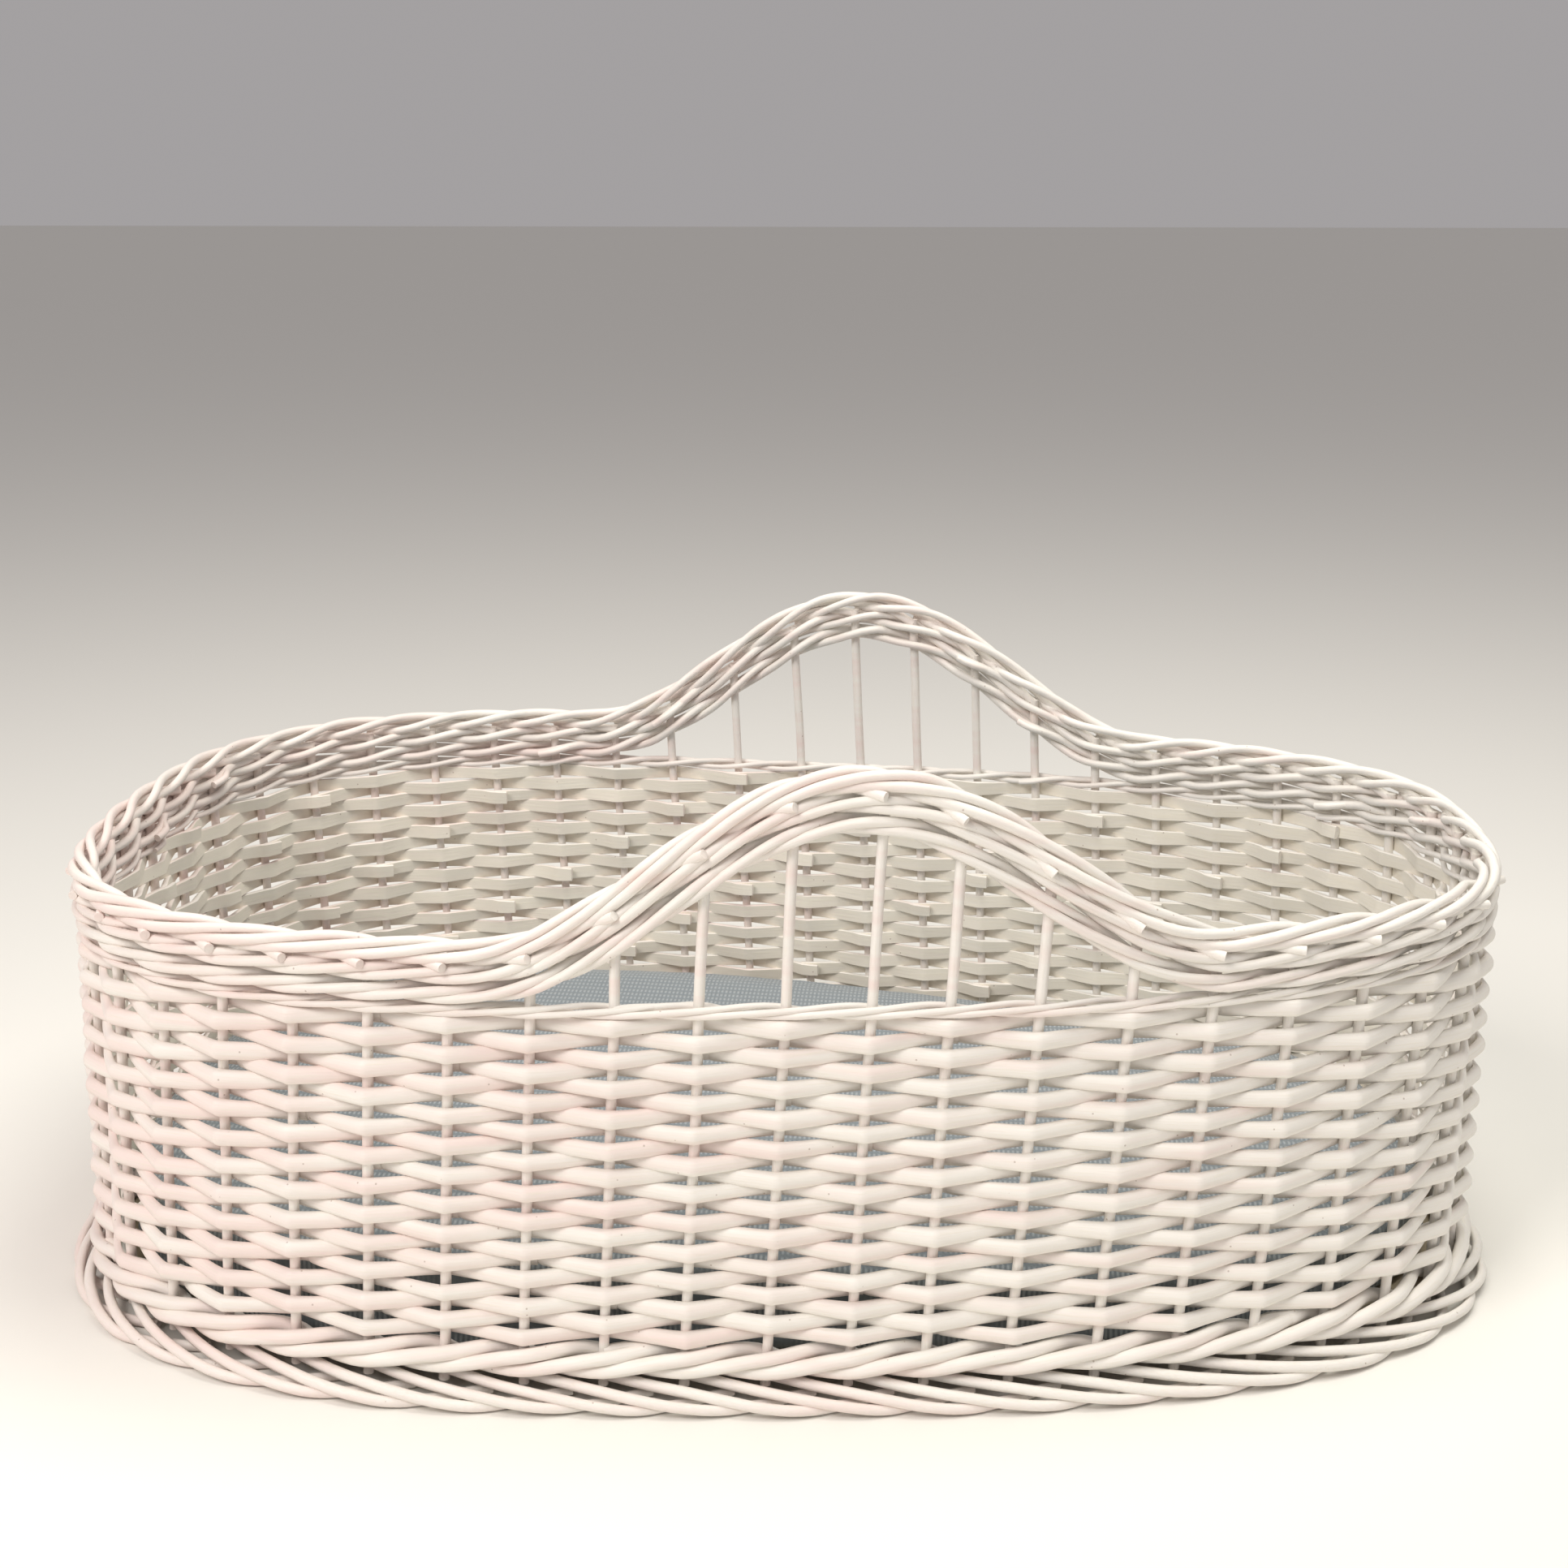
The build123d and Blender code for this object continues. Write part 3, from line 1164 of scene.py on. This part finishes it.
@dataclass
class Mattress:
    """Foam mattress in a knitted cotton cover that its filling swells.

    The cover starts `inset` plus `slack` inside the stake line, swells by up to
    `swell`, and its top falls by `sink` toward the foot end, from `sink_start`
    on over `sink_length`.
    """

    bench: Bench
    line: StakeLine
    inset: float = 11.5
    slack: float = 1.0
    stations: int = 120
    edge: float = 9.0
    swell: float = 6.0
    pressure: float = 4.0
    swell_frames: int = 20
    settle: float = 0.6
    sink: float = 11.0
    sink_start: float = -60.0
    sink_length: float = 280.0
    voxel: float = 6.0
    fill: float = 0.7

    def blank(self, name: str, shrink: float) -> bpy.types.Object:
        """Slab with rounded edges, lower toward the foot end.

        Args:
            name: the piece's name.
            shrink: how far its faces lie inside the finished cover's.

        Returns:
            The mesh object.
        """
        low, high = box_mm("mattress_cover")
        bpy.ops.object.select_all(action="DESELECT")
        # its vertices give the angles, and the swelling magnifies how those round
        bpy.ops.mesh.primitive_cylinder_add(
            vertices=self.stations, radius=0.2, depth=0.05, end_fill_type="NGON"
        )
        slab = bpy.context.object
        slab.name = name
        for vertex in slab.data.vertices:
            share = math.atan2(vertex.co.y, vertex.co.x) / math.tau
            upper = vertex.co.z > 0
            place = self.line.on_line(share * self.line.run[-1])
            inner = place * (1 - (self.inset + shrink) / place.length)
            ramp = min(max((inner.x - self.sink_start) / self.sink_length, 0.0), 1.0)
            top = high.z - self.settle - shrink - self.sink * ramp * ramp * (3 - 2 * ramp)
            bottom = low.z + min(shrink, 2.0)
            vertex.co = Vector((inner.x, inner.y, top if upper else bottom)) * MM
        select_only(slab)
        bpy.ops.object.mode_set(mode="EDIT")
        bpy.ops.mesh.select_all(action="SELECT")
        bpy.ops.mesh.bevel(offset=self.edge * MM, segments=3, affect="EDGES", clamp_overlap=True)
        bpy.ops.object.mode_set(mode="OBJECT")
        slab.data.remesh_voxel_size = self.voxel * MM
        bpy.ops.object.voxel_remesh()
        return slab

    def inflate(self, pad: bpy.types.Object) -> None:
        """Swell the cover with a short cloth simulation.

        Args:
            pad: the slab, whose vertices are moved.
        """
        base = box_mm("mattress_cover")[0].z
        start = [vertex.co.copy() for vertex in pad.data.vertices]
        held = pad.vertex_groups.new(name="underside")
        held.add([v.index for v in pad.data.vertices if v.co.z < (base + 4) * MM], 1.0, "REPLACE")
        cloth = pad.modifiers.new("Cloth", "CLOTH").settings
        cloth.quality = 5
        cloth.mass = 0.3
        cloth.use_pressure = True
        cloth.uniform_pressure_force = self.pressure
        cloth.effector_weights.gravity = 0.0
        cloth.vertex_group_mass = held.name
        for frame_number in range(1, self.swell_frames + 1):
            bpy.context.scene.frame_set(frame_number)
        select_only(pad)
        bpy.ops.object.modifier_apply(modifier="Cloth")
        for vertex, was in zip(pad.data.vertices, start):
            move = vertex.co - was
            reach = self.swell * MM
            if move.length > reach:
                vertex.co = was + move * (reach / move.length)
            vertex.co.z = max(vertex.co.z, base * MM)
        bpy.context.scene.frame_set(1)

    def build(self, cover: bpy.types.Material, foam: bpy.types.Material) -> None:
        """Make the padded cover and dress the foam.

        Args:
            cover: the fabric's finish.
            foam: the foam's finish.
        """
        pad = self.blank("mattress_cover_padded", self.slack)
        self.inflate(pad)
        finer = pad.modifiers.new("Rounding", "SUBSURF")
        finer.levels = finer.render_levels = 1
        select_only(pad)
        bpy.ops.object.modifier_apply(modifier=finer.name)
        core = self.blank("mattress_foam_core", 2 * self.swell + 4.0)
        pieces = (
            (pad, cover, "mattress_fabric", "mattress_cover"),
            (core, foam, "mattress_foam", "mattress_core"),
        )
        for piece, material, slot, node in pieces:
            select_only(piece)
            bpy.ops.object.shade_smooth()
            self.bench.finish(piece, material, slot, "mattress", [node])


# ---------------------------------------------------------------------------
# studio
# ---------------------------------------------------------------------------
@dataclass(frozen=True)
class Softbox:
    """A soft square light that faces the basket: metres and watts."""

    name: str
    place: tuple[float, float, float]
    size: float
    power: float
    tint: str

    def hang(self) -> None:
        """Hang the light."""
        bpy.ops.object.select_all(action="DESELECT")
        bpy.ops.object.light_add(type="AREA", location=self.place)
        lamp = bpy.context.object
        lamp.name = f"studio_{self.name}"
        lamp.data.size = self.size
        lamp.data.energy = self.power
        lamp.data.color = linear(self.tint)[:3]
        way = Vector((0, 0, 0.12)) - Vector(self.place)
        lamp.rotation_euler = way.to_track_quat("-Z", "Y").to_euler()


@dataclass
class Studio:
    """Pale floor, soft light and the camera."""

    azimuth: float = -0.0765
    elevation: float = 0.278
    distance: float = 1213.2
    target: tuple[float, float] = (1.0, 263.0)
    focal: float = 48.3

    def build(self) -> None:
        """Set up the floor, the lights and the camera."""
        self.floor()
        self.lights()
        self.camera()

    def floor(self) -> None:
        """Lay a plain pale floor."""
        bpy.ops.object.select_all(action="DESELECT")
        bpy.ops.mesh.primitive_plane_add(size=60.0, location=(0, 0, -0.0002))
        floor = bpy.context.object
        floor.name = "studio_floor"
        material, shader = new_material("pale_floor")
        shader.inputs["Base Color"].default_value = linear("#EFEDE7")
        shader.inputs["Roughness"].default_value = 0.9
        floor.data.materials.append(material)

    def lights(self) -> None:
        """Hang soft lights and a pale surround."""
        world = bpy.data.worlds.new("pale_room")
        bpy.context.scene.world = world
        world.use_nodes = True
        sky = world.node_tree.nodes["Background"]
        sky.inputs["Color"].default_value = linear("#D6D2D3")
        sky.inputs["Strength"].default_value = 0.55
        Softbox("window", (-1.15, -1.55, 2.0), 1.1, 40.0, "#FFF9F5").hang()
        Softbox("ceiling", (0.5, -0.1, 2.2), 1.2, 30.0, "#FFFDF4").hang()

    def camera(self) -> None:
        """Stand the camera in front of the basket, a little above it."""
        turn, tip = self.azimuth, self.elevation
        way = Vector((math.sin(turn) * math.cos(tip), math.cos(turn) * math.cos(tip), -math.sin(tip)))
        target = Vector((self.target[0], 0.0, self.target[1])) * MM
        bpy.ops.object.camera_add(location=target - way * self.distance * MM)
        camera = bpy.context.object
        camera.rotation_euler = way.to_track_quat("-Z", "Y").to_euler()
        camera.data.lens = self.focal
        camera.data.sensor_width = 36.0
        bpy.context.scene.camera = camera
        bpy.context.scene.view_settings.view_transform = "Standard"


# ---------------------------------------------------------------------------
def main() -> None:
    """Build every sub-assembly in order."""
    logging.basicConfig(level=logging.INFO, format="%(name)s %(message)s")
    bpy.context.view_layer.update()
    bench = Bench(CutWillowAndTipShade("cut_willow_end_and_tip_shade").material())
    line = StakeLine()
    arches = Arches(line)

    rods = PaintedWillow("painted_willow_rod", strand_length=900.0, girth=17.0).material()
    uprights = PaintedWillow("painted_willow_stake", strand_length=240.0, girth=17.0).material()
    split = PaintedWillow("painted_split_willow", split_face=True).material()

    Stakes(bench, line, arches).build(uprights)
    Weave(bench, line).build(split)
    bottom = [f"bottom_wale_{i}" for i in (1, 2, 3)]
    Wale(bench, line, "willow_bottom_wale", bottom, 7.7, climb=1.25, sink=2.0).build(rods)
    Wale(bench, line, "willow_fitch", ["fitch_1", "fitch_2"], 3.4).build(rods)
    top = [f"top_wale_{i}" for i in (1, 2, 3, 4)]
    Wale(bench, line, "willow_top_wale", top, 5.0, rounds=2, arches=arches).build(rods)
    TopBorder(bench, line, arches).build(rods)
    FootBorder(bench, line).build(rods)

    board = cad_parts["base_board"]
    board.data.materials.clear()
    board.data.materials.append(BirchPlywood("birch_plywood").material())
    Mattress(bench, line).build(WaffleCotton("waffle_cotton").material(), OpenCellFoam("foam").material())

    Studio().build()


if __name__ == "__main__":
    main()
